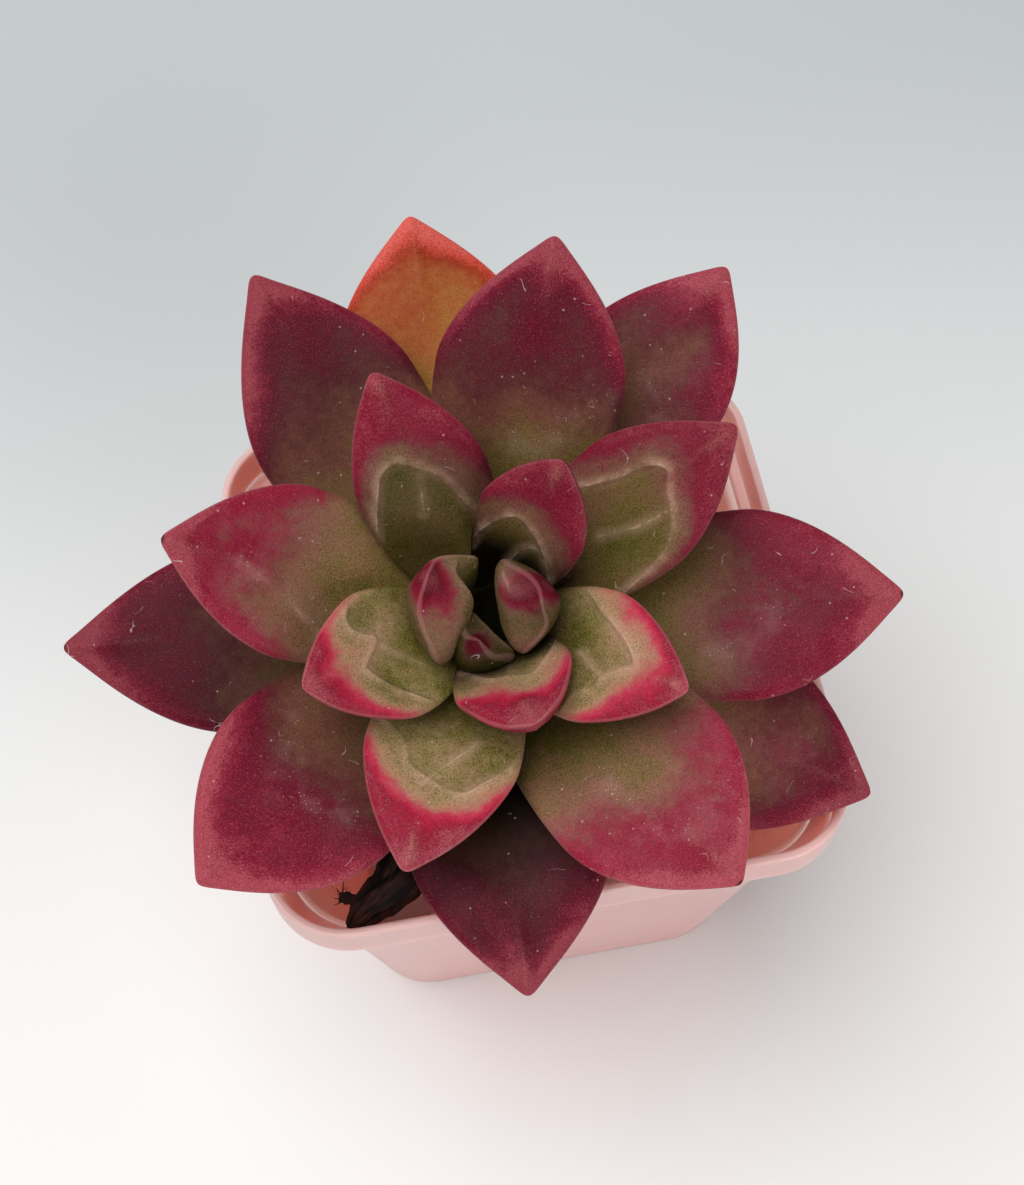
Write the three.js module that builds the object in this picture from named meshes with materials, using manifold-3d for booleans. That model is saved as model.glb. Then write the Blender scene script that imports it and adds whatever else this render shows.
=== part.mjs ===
// Potted echeveria: an open rosette of fleshy leaves on a bare woody stem, laid over an empty square pot.
// Millimetres, +Z up, +Y towards the back. The origin is the centre of the pot's foot.

import * as THREE from 'three';
import { mergeVertices } from 'three/addons/utils/BufferGeometryUtils.js';
import Module from 'manifold-3d';

const wasm = await Module();
wasm.setup();

// Space kept between two pieces that rest against each other. The heart's leaves are cupped so deeply
// that their room is grown by more.
const GAP = 0.3;
const HEART_GAP = 0.5;

// The pot, a thin moulded square tub with a plain collar round its mouth.
const POT_HEIGHT = 70;
const RIM_SIDE = 85;
const RIM_CORNER = 12.4;
const COLLAR_HEIGHT = 7.5;
const COLLAR_STEP = 2.8;
const FOOT_SIDE = 65;
const FOOT_CORNER = 11.6;
const POT_WALL = 1.3;
const POT_FLOOR = 1.6;
const EDGE_ROUND = 0.45;
const CORNER_SEGMENTS = 7;
const DRAIN_RADIUS = 3.5;
const DRAIN_OFFSET = 14;
const DRAIN_SIDES = 12;

// The rosette's heart, where the leaves part, and the lean of its axis towards the viewer.
const HEART = new THREE.Vector3(-6.2, -7.4, 92);
const LEAN = 20;
const LEAN_TOWARDS = -100;

// The spiral: each leaf is set a golden angle on from the last and a little lower on the crown.
const FIRST_TURN = 250;
const GOLDEN_TURN = 137.5;
const CROWN_RADIUS = 4.5;
const CROWN_HEIGHT = 14;
const CROWN_FOOT = 5;
const CROWN_TOP = 3;
const ROOT_DEPTH = 1.5;
const YOUNG_ROOT_DEPTH = 6.5;

// How the blades change from the heart outwards: the bend along a blade falls to a floor, the cupping
// and the base's share of the width fall with each leaf, and a wide blade is thicker.
const HEART_LEAVES = 3;
const YOUNG_BOW = 60;
const BOW_FALL = 8;
const OLD_BOW = 20;
const HEART_CUP = 0.5;
const YOUNG_CUP = 0.32;
const CUP_FALL = 0.011;
const YOUNG_BASE = 0.62;
const BASE_FALL = 0.02;
const OLD_BASE = 0.42;
const THINNEST_BLADE = 4.6;
const THICKER_PER_WIDTH = 0.07;

// A blade's section. The base is half as thick as the rest, up to a station. The upper face is a power
// curve that grows into a low roof at the tip, and the back is a power curve blended with a keel.
const BASE_THICKNESS = 0.5;
const FULL_STATION = 0.45;
const TIP_TAPER = 0.7;
const HEART_FULLNESS = 3;
const FULLNESS = 5;
const FACE_SHARE = 0.42;
const FACE_POWER = 2.8;
const FLAT_FROM = 0.6;
const FLAT_TO = 0.95;
const BACK_POWER = 2.5;
const BACK_ROUND = 0.6;
const KEEL_BASE = 0.15;
const KEEL_GROWTH = 0.55;

// Leaves from the youngest, at the heart, to the oldest, underneath.
// Each row: turn off the spiral's rule in degrees, length, width, rise of the blade in degrees,
// station of its widest point, power of the tip's curve, sideways sweep of the tip and twist in degrees.
const LEAVES = [
  [-3, 9.5, 9.6, 88, 0.45, 1.6, 0.8, -27],
  [-27, 12, 13, 74, 0.5, 1.8, -2.1, 2],
  [4, 15, 14.9, 81, 0.5, 1.8, -3.3, -20],
  [-19, 21, 16.5, 51, 0.5, 1.8, 0, 0],
  [-31, 25, 15.5, 50, 0.55, 1.8, 0, 0],
  [-20, 28, 18.5, 42, 0.5, 1.8, 0, 0],
  [-29, 31, 18.5, 38, 0.5, 1.8, 0, 0],
  [-26.5, 35, 18.5, 37, 0.52, 1.8, 0, 0],
  [-25, 37, 21, 32, 0.5, 1.8, 0, 0],
  [-23, 41, 20, 29, 0.57, 1.8, 0, 0],
  [-25, 44, 23.5, 33, 0.58, 1.8, 0, 0],
  [-20, 49, 27, 25, 0.6, 2, 0, 0],
  [-31, 50, 26.5, 22, 0.62, 1.8, 0, 0],
  [-22, 51, 28, 24, 0.6, 2, 0, 0],
  [-23, 54, 26.5, 16, 0.61, 1.9, 0, 0],
  [-34, 55, 26.5, 9, 0.58, 1.8, -4, 0],
  [-23, 48.5, 28.5, 12.3, 0.58, 1.7, 0, 0],
  [-20, 57, 24.5, 9, 0.64, 2, -2, 0],
  [-31, 56, 27, 4, 0.58, 1.8, 0, 0],
  [-17, 55, 27, 6, 0.62, 1.9, 0, 0],
  [-29, 58, 30, 2, 0.6, 2.1, 0, 0],
];
const LEAF_STATIONS = 12;
const LEAF_SIDES = 16;

// The woody stem: points of its bend from the crown to the front wall, and its radius at each.
const STEM_ROUTE = [
  [-5, -1, 74.4, 4.2],
  [-6, -4.5, 69.5, 4],
  [-12, -16, 66.5, 3.9],
  [-18.5, -27.5, 67.3, 3.7],
  [-24, -34.6, 67.4, 3.5],
  [-28.6, -37.6, 66.4, 2.5],
  [-31.2, -39.5, 64.2, 1.3],
];
const STEM_STEPS = 24;
const STEM_SIDES = 12;
const CROWN_SIDES = 14;

// The bark's unevenness, as shares of the radius: three long ridges and rings of old leaf scars.
const RIDGE_RELIEF = 0.06;
const RIDGES = 3;
const RIDGE_TWIST = 4;
const SCAR_RELIEF = 0.04;
const SCAR_PACE = 60;

// Broken root ends left on the stem: start, end, then radius at each.
const ROOT_STUBS = [
  [-28.4, -37.2, 66.8, -32.4, -35.2, 66, 1, 0.8],
  [-24, -34.5, 66, -23.4, -33.2, 61.4, 0.9, 0.4],
  [-18, -27, 65.5, -20.2, -25, 60.5, 1, 0.4],
  [-12, -16, 64.5, -9.5, -18, 58.5, 1.1, 0.4],
];
const ROOT_STEPS = 3;
const ROOT_SIDES = 6;

const POT_COLOUR = 0xe3a0a3;
const STEM_COLOUR = 0x2e1a14;
const YOUNG_COLOUR = new THREE.Color(0xa9885a);
const OLD_COLOUR = new THREE.Color(0x74303a);
const YOUNG_LEAVES = 12;

const degrees = (angle) => THREE.MathUtils.degToRad(angle);
const point = (x, y, z) => new THREE.Vector3(x, y, z);

// A closed skin over rings of points, each ring anticlockwise as seen from the end.
function loft(rings, start, end) {
  const count = rings[0].length;
  const points = [...rings.flat(), start, end];
  const startIndex = points.length - 2;
  const endIndex = points.length - 1;
  const lastRing = (rings.length - 1) * count;
  const faces = [];
  for (let i = 0; i < count; i++) {
    const next = (i + 1) % count;
    faces.push(startIndex, next, i);
    for (let row = 0; row < lastRing; row += count) {
      faces.push(row + i, row + next, row + count + next);
      faces.push(row + i, row + count + next, row + count + i);
    }
    faces.push(lastRing + i, lastRing + next, endIndex);
  }
  const geometry = new THREE.BufferGeometry().setFromPoints(points);
  geometry.setIndex(faces);
  return geometry;
}

function toSolid(source) {
  const bare = source.clone();
  bare.deleteAttribute('normal');
  bare.deleteAttribute('uv');
  const merged = mergeVertices(bare, 1e-4);
  return new wasm.Manifold(new wasm.Mesh({
    numProp: 3,
    vertProperties: Float32Array.from(merged.attributes.position.array),
    triVerts: Uint32Array.from(merged.index.array),
  }));
}

function toGeometry(solid) {
  const mesh = solid.getMesh();
  const geometry = new THREE.BufferGeometry();
  geometry.setAttribute('position', new THREE.BufferAttribute(mesh.vertProperties, 3));
  geometry.setIndex(new THREE.BufferAttribute(mesh.triVerts, 1));
  geometry.computeVertexNormals();
  return geometry;
}

function toMesh(name, solid, colour, roughness) {
  const mesh = new THREE.Mesh(
    toGeometry(solid),
    new THREE.MeshStandardMaterial({ color: colour, roughness, metalness: 0 }),
  );
  mesh.name = name;
  return mesh;
}

// One level of the pot: a square with round corners.
function squareRing(side, corner, z) {
  const ring = [];
  const centre = side / 2 - corner;
  for (let quarter = 0; quarter < 4; quarter++) {
    for (let step = 0; step <= CORNER_SEGMENTS; step++) {
      const angle = degrees(90 * (quarter + step / CORNER_SEGMENTS));
      const sideX = quarter === 0 || quarter === 3 ? 1 : -1;
      const sideY = quarter < 2 ? 1 : -1;
      ring.push(point(
        sideX * centre + corner * Math.cos(angle),
        sideY * centre + corner * Math.sin(angle),
        z,
      ));
    }
  }
  return ring;
}

// The pot's wall runs up the outside, over the rim and down the inside to the floor.
function makePot() {
  const bodySide = RIM_SIDE - 2 * COLLAR_STEP;
  const bodyTop = POT_HEIGHT - COLLAR_HEIGHT;
  const inset = (side, corner, by, z) => squareRing(side - 2 * by, corner - by, z);
  const rings = [
    inset(FOOT_SIDE, FOOT_CORNER, EDGE_ROUND, 0),
    inset(FOOT_SIDE, FOOT_CORNER, 0, EDGE_ROUND),
    inset(bodySide, RIM_CORNER, 0, bodyTop),
    inset(RIM_SIDE, RIM_CORNER, EDGE_ROUND, bodyTop + EDGE_ROUND),
    inset(RIM_SIDE, RIM_CORNER, 0, bodyTop + 2 * EDGE_ROUND),
    inset(RIM_SIDE, RIM_CORNER, 0, POT_HEIGHT - EDGE_ROUND),
    inset(RIM_SIDE, RIM_CORNER, EDGE_ROUND, POT_HEIGHT),
    inset(RIM_SIDE, RIM_CORNER, POT_WALL - EDGE_ROUND / 2, POT_HEIGHT),
    inset(RIM_SIDE, RIM_CORNER, POT_WALL, POT_HEIGHT - EDGE_ROUND),
    inset(RIM_SIDE, RIM_CORNER, POT_WALL, bodyTop - POT_WALL + EDGE_ROUND),
    inset(bodySide, RIM_CORNER, POT_WALL, bodyTop - POT_WALL),
    inset(FOOT_SIDE, FOOT_CORNER, POT_WALL, POT_FLOOR),
  ];
  let pot = toSolid(loft(rings, point(0, 0, 0), point(0, 0, POT_FLOOR)));
  for (const x of [-DRAIN_OFFSET, DRAIN_OFFSET]) {
    for (const y of [-DRAIN_OFFSET, DRAIN_OFFSET]) {
      const drain = new THREE.CylinderGeometry(DRAIN_RADIUS, DRAIN_RADIUS, 4 * POT_FLOOR, DRAIN_SIDES);
      drain.rotateX(Math.PI / 2);
      drain.translate(x, y, 0);
      pot = pot.subtract(toSolid(drain));
    }
  }
  return pot;
}

// The rosette's own directions: its axis, and two more square to it.
const axis = point(
  Math.sin(degrees(LEAN)) * Math.cos(degrees(LEAN_TOWARDS)),
  Math.sin(degrees(LEAN)) * Math.sin(degrees(LEAN_TOWARDS)),
  Math.cos(degrees(LEAN)),
);
const across = point(1, 0, 0).projectOnPlane(axis).normalize();
const away = new THREE.Vector3().crossVectors(axis, across);

// Half the blade's width at a station, as a share of its greatest half width.
function outlineShare(station, widest, tipPower, baseShare) {
  if (station < widest) {
    return baseShare + (1 - baseShare) * (1 - (1 - station / widest) ** 2);
  }
  return 1 - ((station - widest) / (1 - widest)) ** tipPower;
}

// A step from 0 to 1 with soft ends.
function ease(value) {
  const share = Math.min(Math.max(value, 0), 1);
  return share * share * (3 - 2 * share);
}

// The section's height at a place across, as a share of the blade's thickness.
function sectionShare(place, isFace, keel, roof) {
  const off = Math.abs(place);
  if (isFace) {
    return FACE_SHARE * ((1 - roof) * Math.sqrt(1 - off ** FACE_POWER) + roof * (1 - off));
  }
  const round = (1 - off ** BACK_POWER) ** BACK_ROUND;
  return -(1 - FACE_SHARE) * ((1 - keel) * round + keel * (1 - off));
}

// A fleshy leaf: its centre line is an arc that rises from the crown, and its section is a cupped lens
// with a keeled back that grows flat and roofed towards the tip. grow swells it on every side.
function makeLeaf(order, grow) {
  const [turnOff, length, width, rise, widest, tipPower, sweep, twist] = LEAVES[order];
  const turn = degrees(FIRST_TURN + GOLDEN_TURN * order + turnOff);
  const out = across.clone().multiplyScalar(Math.cos(turn)).addScaledVector(away, Math.sin(turn));
  const side = new THREE.Vector3().crossVectors(axis, out);
  const attach = -CROWN_HEIGHT * order / (LEAVES.length - 1);
  const inHeart = order < HEART_LEAVES;
  const bow = Math.max(YOUNG_BOW - BOW_FALL * order, OLD_BOW);
  const cup = inHeart ? HEART_CUP : YOUNG_CUP - CUP_FALL * order;
  const fullness = inHeart ? HEART_FULLNESS : FULLNESS;
  const baseShare = Math.max(YOUNG_BASE - BASE_FALL * order, OLD_BASE);
  const thickness = THINNEST_BLADE + THICKER_PER_WIDTH * width;
  const root = Math.max(YOUNG_ROOT_DEPTH - order, ROOT_DEPTH);

  const slope = (along) => degrees(rise + bow * (along / length - 0.5));
  const arcRadius = length / degrees(bow);
  const centre = (along) => HEART.clone()
    .addScaledVector(out, CROWN_RADIUS + arcRadius * (Math.sin(slope(along)) - Math.sin(slope(0))))
    .addScaledVector(axis, attach + arcRadius * (Math.cos(slope(0)) - Math.cos(slope(along))))
    .addScaledVector(side, sweep * (along / length) ** 2);

  const rings = [];
  for (let step = 0; step < LEAF_STATIONS; step++) {
    const share = Math.sin(degrees(90 * step / LEAF_STATIONS));
    const along = (length + root) * share - root;
    const station = Math.max(along / length, 0);
    const halfWidth = width / 2 * outlineShare(station, widest, tipPower, baseShare);
    const body = BASE_THICKNESS + (1 - BASE_THICKNESS) * ease(station / FULL_STATION);
    const depth = thickness * body * (1 - station ** fullness) ** TIP_TAPER;
    const keel = KEEL_BASE + KEEL_GROWTH * station ** 3;
    const flat = ease((station - FLAT_FROM) / (FLAT_TO - FLAT_FROM));
    const lift = cup * halfWidth * (1 - flat);
    const at = along + grow * (2 * share - 1);
    const tangent = out.clone().multiplyScalar(Math.cos(slope(at))).addScaledVector(axis, Math.sin(slope(at)));
    const beside = side.clone().applyAxisAngle(tangent, degrees(twist));
    const up = tangent.clone().cross(beside);
    const ring = [];
    for (let corner = 0; corner < LEAF_SIDES; corner++) {
      const angle = 2 * Math.PI * corner / LEAF_SIDES;
      const place = Math.cos(angle);
      const height = depth * sectionShare(place, angle < Math.PI, keel, flat / 2);
      ring.push(centre(at)
        .addScaledVector(beside, (halfWidth + grow) * place)
        .addScaledVector(up, height + lift * place * place + grow * Math.sin(angle)));
    }
    rings.push(ring);
  }
  return loft(rings, centre(-root - grow), centre(length + grow));
}

// The crown that the leaves grow from: a short post on the rosette's axis with a domed growing tip.
function makeCrown(grow) {
  const radius = CROWN_RADIUS - GAP + grow;
  const foot = -CROWN_HEIGHT - CROWN_FOOT - grow;
  const top = grow - CROWN_TOP;
  const profile = [
    [0, foot],
    [radius * 0.8, foot],
    [radius, foot + 1.5],
    [radius, top - 3],
    [radius * 0.65, top - 1],
    [radius * 0.35, top - 0.2],
    [0, top],
  ];
  const crown = new THREE.LatheGeometry(profile.map(([r, h]) => new THREE.Vector2(r, h)), CROWN_SIDES);
  crown.applyQuaternion(new THREE.Quaternion().setFromUnitVectors(point(0, 1, 0), axis));
  crown.translate(HEART.x, HEART.y, HEART.z);
  return crown;
}

// A round bar along a curve whose radius changes on the way. relief shares out its surface's unevenness.
function makeBar(curve, radiusAt, steps, sides, relief) {
  const frames = curve.computeFrenetFrames(steps, false);
  const rings = [];
  for (let step = 0; step <= steps; step++) {
    const share = step / steps;
    const ring = [];
    for (let corner = 0; corner < sides; corner++) {
      const angle = 2 * Math.PI * corner / sides;
      const radius = radiusAt(share) * (1 + relief(share, angle));
      ring.push(curve.getPoint(share)
        .addScaledVector(frames.normals[step], radius * Math.cos(angle))
        .addScaledVector(frames.binormals[step], radius * Math.sin(angle)));
    }
    rings.push(ring);
  }
  return loft(rings, curve.getPoint(0), curve.getPoint(1));
}

// The woody stem with its crown and its broken root ends, grown as one piece.
function makeStem() {
  const route = new THREE.CatmullRomCurve3(STEM_ROUTE.map(([x, y, z]) => point(x, y, z)));
  const radiusAt = (share) => {
    const place = share * (STEM_ROUTE.length - 1);
    const before = Math.min(Math.floor(place), STEM_ROUTE.length - 2);
    return THREE.MathUtils.lerp(STEM_ROUTE[before][3], STEM_ROUTE[before + 1][3], place - before);
  };
  const bark = (share, angle) => RIDGE_RELIEF * Math.sin(RIDGES * angle + RIDGE_TWIST * share)
    + SCAR_RELIEF * Math.sin(SCAR_PACE * share);
  let stem = toSolid(makeBar(route, radiusAt, STEM_STEPS, STEM_SIDES, bark)).add(toSolid(makeCrown(0)));
  for (const [x0, y0, z0, x1, y1, z1, thick, thin] of ROOT_STUBS) {
    const line = new THREE.LineCurve3(point(x0, y0, z0), point(x1, y1, z1));
    const taper = (share) => THREE.MathUtils.lerp(thick, thin, share);
    stem = stem.add(toSolid(makeBar(line, taper, ROOT_STEPS, ROOT_SIDES, () => 0)));
  }
  return stem;
}

const group = new THREE.Group();
const stem = makeStem();
group.add(toMesh('pot', makePot(), POT_COLOUR, 0.45));
group.add(toMesh('stem', stem, STEM_COLOUR, 0.85));

// A younger leaf lies on an older one, so each leaf is cut back from the crown and from every younger leaf.
const crownRoom = toSolid(makeCrown(GAP));
const younger = [];
LEAVES.forEach((row, order) => {
  let leaf = toSolid(makeLeaf(order, 0)).subtract(crownRoom);
  younger.forEach((neighbour) => {
    leaf = leaf.subtract(neighbour);
  });
  const pieces = leaf.decompose().sort((a, b) => b.volume() - a.volume());
  const colour = YOUNG_COLOUR.clone().lerp(OLD_COLOUR, Math.min(order / YOUNG_LEAVES, 1));
  const name = `leaf_${String(order + 1).padStart(2, '0')}`;
  group.add(toMesh(name, pieces[0], colour, 0.5));
  younger.push(toSolid(makeLeaf(order, order < HEART_LEAVES ? HEART_GAP : GAP)));
});

export default group;
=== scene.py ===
"""Potted echeveria: fine surfaces and finishes round the fixed model. Metres, +Z up."""

import math

import bpy
import numpy as np
from mathutils import Matrix, Vector


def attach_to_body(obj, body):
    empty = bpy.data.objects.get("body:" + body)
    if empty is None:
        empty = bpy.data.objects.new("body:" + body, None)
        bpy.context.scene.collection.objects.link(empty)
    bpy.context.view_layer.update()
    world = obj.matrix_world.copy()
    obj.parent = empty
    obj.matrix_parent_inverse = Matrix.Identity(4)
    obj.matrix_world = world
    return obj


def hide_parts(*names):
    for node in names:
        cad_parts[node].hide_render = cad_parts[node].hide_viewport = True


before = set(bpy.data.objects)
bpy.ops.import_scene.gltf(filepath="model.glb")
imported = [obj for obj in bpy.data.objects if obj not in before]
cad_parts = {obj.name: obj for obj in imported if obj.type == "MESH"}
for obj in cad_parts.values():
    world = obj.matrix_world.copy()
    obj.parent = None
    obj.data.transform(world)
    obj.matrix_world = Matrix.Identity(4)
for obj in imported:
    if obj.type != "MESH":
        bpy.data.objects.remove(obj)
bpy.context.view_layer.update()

MM = 0.001

# The camera: the frame, its angles round the pot's mouth, its distance from it, the lens, and the pixel
# where the mouth's centre falls.
FRAME_PIXELS = (1024, 1185)
VIEW_AZIMUTH = -8.7
VIEW_ELEVATION = 62.1
VIEW_ROLL = -1.6
VIEW_DISTANCE = 242 * MM
FOCAL_LENGTH = 48.6
SENSOR = 36.0
MOUTH_CENTRE_PIXEL = (520, 629)

# The pot in millimetres, as the solids have it.
POT_HEIGHT = 70
RIM_SIDE = 85
RIM_CORNER = 12.4
COLLAR_HEIGHT = 7.5
COLLAR_STEP = 2.8
FOOT_SIDE = 65
FOOT_CORNER = 11.6
POT_WALL = 1.3
POT_FLOOR = 1.6
DRAIN_RADIUS = 3.5
DRAIN_OFFSET = 14
FOOT_ROUND = 0.8
COLLAR_ROUND = 0.5
RIM_OUTER_ROUND = 0.45
RIM_INNER_ROUND = 0.35
FLOOR_ROUND = 1.8

# The rosette in millimetres and degrees, as the solids have it.
HEART = np.array([-6.2, -7.4, 92.0])
LEAN = 20
LEAN_TOWARDS = -100
FIRST_TURN = 250
GOLDEN_TURN = 137.5
CROWN_RADIUS = 4.5
CROWN_HEIGHT = 14
CROWN_FOOT = 5
CROWN_TOP = 3
GAP = 0.3
HEART_LEAVES = 3
HEART_CUP = 0.5
FACE_SHARE = 0.42
BACK_SHARE = 0.58
YOUNG_LEAVES = 10

# Leaves from the youngest to the oldest: turn off the spiral's rule, length, width, rise,
# widest station, tip power, sweep and twist.
LEAVES = [
    (-3, 9.5, 9.6, 88, 0.45, 1.6, 0.8, -27),
    (-27, 12, 13, 74, 0.5, 1.8, -2.1, 2),
    (4, 15, 14.9, 81, 0.5, 1.8, -3.3, -20),
    (-19, 21, 16.5, 51, 0.5, 1.8, 0, 0),
    (-31, 25, 15.5, 50, 0.55, 1.8, 0, 0),
    (-20, 28, 18.5, 42, 0.5, 1.8, 0, 0),
    (-29, 31, 18.5, 38, 0.5, 1.8, 0, 0),
    (-26.5, 35, 18.5, 37, 0.52, 1.8, 0, 0),
    (-25, 37, 21, 32, 0.5, 1.8, 0, 0),
    (-23, 41, 20, 29, 0.57, 1.8, 0, 0),
    (-25, 44, 23.5, 33, 0.58, 1.8, 0, 0),
    (-20, 49, 27, 25, 0.6, 2, 0, 0),
    (-31, 50, 26.5, 22, 0.62, 1.8, 0, 0),
    (-22, 51, 28, 24, 0.6, 2, 0, 0),
    (-23, 54, 26.5, 16, 0.61, 1.9, 0, 0),
    (-34, 55, 26.5, 9, 0.58, 1.8, -4, 0),
    (-23, 48.5, 28.5, 12.3, 0.58, 1.7, 0, 0),
    (-20, 57, 24.5, 9, 0.64, 2, -2, 0),
    (-31, 56, 27, 4, 0.58, 1.8, 0, 0),
    (-17, 55, 27, 6, 0.62, 1.9, 0, 0),
    (-29, 58, 30, 2, 0.6, 2.1, 0, 0),
]

# How each leaf looks, youngest first: youth (1 olive and pink, 0 burgundy), lightness of its colour, which
# is partly its own and partly painted shade on the heart's leaves and on leaves that lie in others' shadow,
# the share of that lightness left at the base, below one a painted shade where the leaves above cover the
# base and above one a lighter base, the station where the base's painted shade ends, wax bloom, redness
# added, and the dried brown point in millimetres.
LOOKS = [
    (0.55, 0.3, 0.4, 0.4, 0.0, -0.16, 0),
    (0.6, 0.48, 0.15, 0.45, 0.0, -0.08, 0),
    (0.75, 0.62, 0.25, 0.45, 0.0, -0.05, 0),
    (1.0, 0.92, 0.1, 0.6, 0.15, 0.0, 0),
    (0.3, 0.9, 0.03, 0.62, 0.05, 0.02, 0),
    (1.0, 0.95, 1.25, 0.65, 0.2, -0.06, 0),
    (1.0, 1.03, 0.45, 0.5, 0.25, -0.03, 0),
    (0.35, 1.02, 0.6, 0.85, 0.1, 0.02, 0),
    (1.0, 1.0, 0.35, 0.55, 0.25, -0.02, 0),
    (0.3, 0.9, 0.8, 0.5, 0.12, 0.04, 0),
    (0.4, 0.98, 1.5, 0.6, 0.35, 0.05, 0.25),
    (0.4, 1.1, 0.4, 0.6, 0.5, 0.06, 0.25),
    (0.1, 0.93, 1.25, 0.5, 0.05, 0.07, 0),
    (0.15, 1.15, 0.75, 0.85, 0.15, 0.14, 0),
    (0.2, 0.97, 1.2, 0.6, 0.2, 0.08, 0.25),
    (0.1, 0.9, 1.3, 0.6, 0.05, 0.05, 0),
    (0.1, 0.82, 0.05, 0.82, 0.25, 0.04, 0),
    (0.15, 1.05, 0.95, 0.5, 0.25, 0.04, 0),
    (0.1, 0.78, 0.75, 0.75, 0.05, 0.08, 0.25),
    (0.15, 0.75, 2.2, 0.98, 0.3, -0.06, 0),
    (0.2, 1.0, 1.1, 0.5, 0.05, 0.0, 0),
]

# Patches redder or greener than the rest: leaf, station, place across, radius in millimetres, tone added.
BLUSHES = [
    (1, 0.96, 0.0, 1.8, 0.7),
    (2, 0.77, 0.45, 2.3, 0.7),
    (3, 1.0, -0.1, 4.0, 0.66),
    (4, 0.9, 0.0, 3.0, 0.15),
    (4, 0.45, -0.85, 2.5, -0.15),
    (6, 0.4, -0.5, 3.0, 0.18),
    (7, 0.78, 0.05, 2.6, 0.15),
    (7, 0.6, 0.75, 2.6, 0.12),
    (9, 0.8, 0.5, 3.0, 0.15),
    (10, 0.72, 0.0, 2.6, 0.2),
    (12, 0.8, -0.45, 5.0, 0.2),
    (12, 0.62, 0.1, 5.0, -0.12),
    (14, 0.72, -0.3, 7.0, 0.12),
    (15, 0.6, 0.0, 8.0, 0.12),
    (16, 0.8, 0.85, 5.0, 0.15),
    (18, 0.75, 0.1, 7.0, -0.12),
]

# The arch that a neighbour pressed into each young leaf in the bud: points of (station along the leaf,
# place across it), from one margin to the other.
ARCHES = {
    1: [(0.4, -1), (0.55, -0.3), (0.6, 0.3), (0.5, 1)],
    2: [(0.2, -1), (0.3, -0.3), (0.35, 0.4), (0.4, 1)],
    3: [(0.75, -1), (0.7, -0.55), (0.45, -0.3), (0.36, 0.1), (0.34, 0.4), (0.14, 1)],
    4: [(0.2, -1), (0.29, -0.67), (0.42, -0.38), (0.46, -0.05), (0.55, 0.35), (0.42, 0.77), (0.3, 1)],
    5: [(0.21, -1), (0.39, -0.52), (0.49, -0.15), (0.55, 0.25), (0.48, 0.53), (0.34, 0.8), (0.2, 1)],
    6: [(0.6, -1), (0.65, -0.78), (0.64, -0.55), (0.58, -0.36), (0.53, -0.27), (0.6, -0.1), (0.65, 0.02),
        (0.66, 0.12), (0.61, 0.33), (0.56, 0.5), (0.48, 0.72), (0.38, 1)],
    7: [(0.48, -1), (0.5, -0.62), (0.58, -0.43), (0.6, -0.24), (0.68, -0.05), (0.73, 0.05), (0.7, 0.25),
        (0.63, 0.42), (0.5, 0.6), (0.44, 0.7), (0.32, 1)],
    8: [(0.1, -1), (0.37, -0.48), (0.48, -0.33), (0.54, -0.22), (0.61, 0.05), (0.65, 0.28), (0.63, 0.55),
        (0.54, 0.72), (0.38, 1)],
    9: [(0.42, -1), (0.5, -0.55), (0.55, -0.45), (0.6, -0.37), (0.63, -0.15), (0.66, 0.2), (0.66, 0.5),
        (0.58, 0.72), (0.46, 1)],
    10: [(0.3, -1), (0.53, -0.8), (0.62, -0.65), (0.67, -0.42), (0.7, -0.15), (0.74, 0.12), (0.7, 0.33),
         (0.59, 0.42), (0.45, 0.67), (0.36, 1)],
}

# Other pressed lines: leaf, strength, then points of (station, place across).
CREASES = [
    (2, 0.7, [(0.63, 0.9), (0.68, 0.62), (0.69, 0.42)]),
    (4, 0.8, [(0.46, -0.05), (0.36, 0.02), (0.28, 0.05)]),
    (5, 0.8, [(0.21, 0.08), (0.33, -0.03), (0.4, -0.22), (0.38, -0.45), (0.21, -0.95)]),
    (6, 0.8, [(0.53, -0.27), (0.5, -0.3), (0.46, -0.44)]),
    (6, 0.8, [(0.52, -0.22), (0.43, 0.05), (0.36, 0.23), (0.28, 0.5)]),
    (6, 0.5, [(0.49, 0.25), (0.48, 0.5), (0.44, 0.78)]),
    (7, 0.9, [(0.42, -0.02), (0.48, -0.1), (0.56, -0.22), (0.6, -0.28)]),
    (8, 0.8, [(0.56, 0), (0.46, 0.1), (0.4, 0.17)]),
    (9, 0.9, [(0.66, -0.13), (0.58, 0.05), (0.51, 0.22), (0.43, 0.4)]),
    (9, 0.5, [(0.69, -0.67), (0.73, -0.37), (0.68, -0.08)]),
    (10, 0.8, [(0.4, -0.05), (0.47, -0.17), (0.54, -0.27), (0.66, -0.37)]),
    (11, 0.45, [(0.76, 0.04), (0.58, 0.33), (0.42, 0.81)]),
]

# Arcs of pale dust rubbed onto the older leaves: leaf, then points of (station, place across).
DUSTINGS = [
    (11, [(0.76, 0.04), (0.58, 0.33), (0.42, 0.81)]),
    (12, [(0.48, -0.15), (0.7, -0.29), (0.81, 0), (0.77, 0.65)]),
    (13, [(0.44, 0.54), (0.45, -0.24), (0.59, -0.76)]),
    (14, [(0.5, -0.5), (0.66, -0.1), (0.6, 0.5)]),
    (15, [(0.35, -0.6), (0.6, -0.4), (0.75, 0.2)]),
    (18, [(0.5, -0.6), (0.65, 0), (0.6, 0.5)]),
]

# How far in millimetres the dust spreads beside its arc.
DUST_WIDTH = 2.2

# A distance in millimetres at which a pressed line, an arch or a margin no longer shows.
FAR = 9.0

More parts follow.
